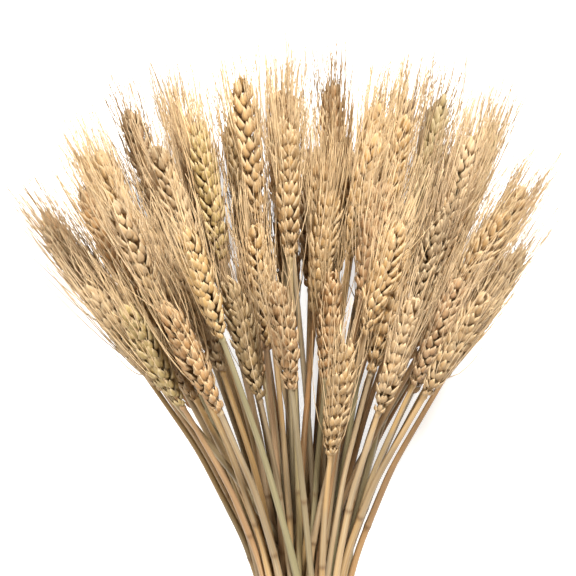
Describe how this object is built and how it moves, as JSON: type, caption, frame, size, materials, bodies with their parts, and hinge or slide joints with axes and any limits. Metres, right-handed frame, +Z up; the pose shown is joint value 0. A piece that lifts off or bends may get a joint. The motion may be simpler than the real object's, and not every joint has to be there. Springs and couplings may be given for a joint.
{
  "type": "bundle of dried bearded wheat",
  "caption": "Dried bearded wheat stalks cut to one length, gathered with twine, and lying on a surface with the awned ears fanned out into a dome.",
  "frame": {"origin": "bottom centre of the box around the bundle as it lies, on the surface it rests on", "axes": "+Y from the cut ends to the ears, +X to the right as seen from above, +Z up"},
  "size_m": [0.2774, 0.3988, 0.191],
  "materials": {
    "wheat_straw": "matte",
    "twine": "matte"
  },
  "bodies": {
    "root": {"stalks_01": "wheat_straw", "stalks_02": "wheat_straw", "stalks_03": "wheat_straw", "stalks_04": "wheat_straw", "stalks_05": "wheat_straw", "stalks_06": "wheat_straw", "stalks_07": "wheat_straw", "stalks_08": "wheat_straw", "stalks_09": "wheat_straw", "stalks_10": "wheat_straw", "stalks_11": "wheat_straw", "stalks_12": "wheat_straw", "stalks_13": "wheat_straw", "stalks_14": "wheat_straw", "stalks_15": "wheat_straw", "stalks_16": "wheat_straw", "stalks_17": "wheat_straw", "stalks_18": "wheat_straw", "stalks_19": "wheat_straw", "stalks_20": "wheat_straw", "stalks_21": "wheat_straw", "stalks_22": "wheat_straw", "stalks_23": "wheat_straw", "stalks_24": "wheat_straw", "stalks_25": "wheat_straw", "stalks_26": "wheat_straw", "stalks_27": "wheat_straw", "stalks_28": "wheat_straw", "stalks_29": "wheat_straw", "stalks_30": "wheat_straw", "stalks_31": "wheat_straw", "stalks_32": "wheat_straw", "stalks_33": "wheat_straw", "stalks_34": "wheat_straw", "stalks_35": "wheat_straw", "stalks_36": "wheat_straw", "stalks_37": "wheat_straw", "stalks_38": "wheat_straw", "stalks_39": "wheat_straw", "stalks_40": "wheat_straw", "stalks_41": "wheat_straw", "stalks_42": "wheat_straw", "twine_tie": "twine"}
  },
  "joints": []
}
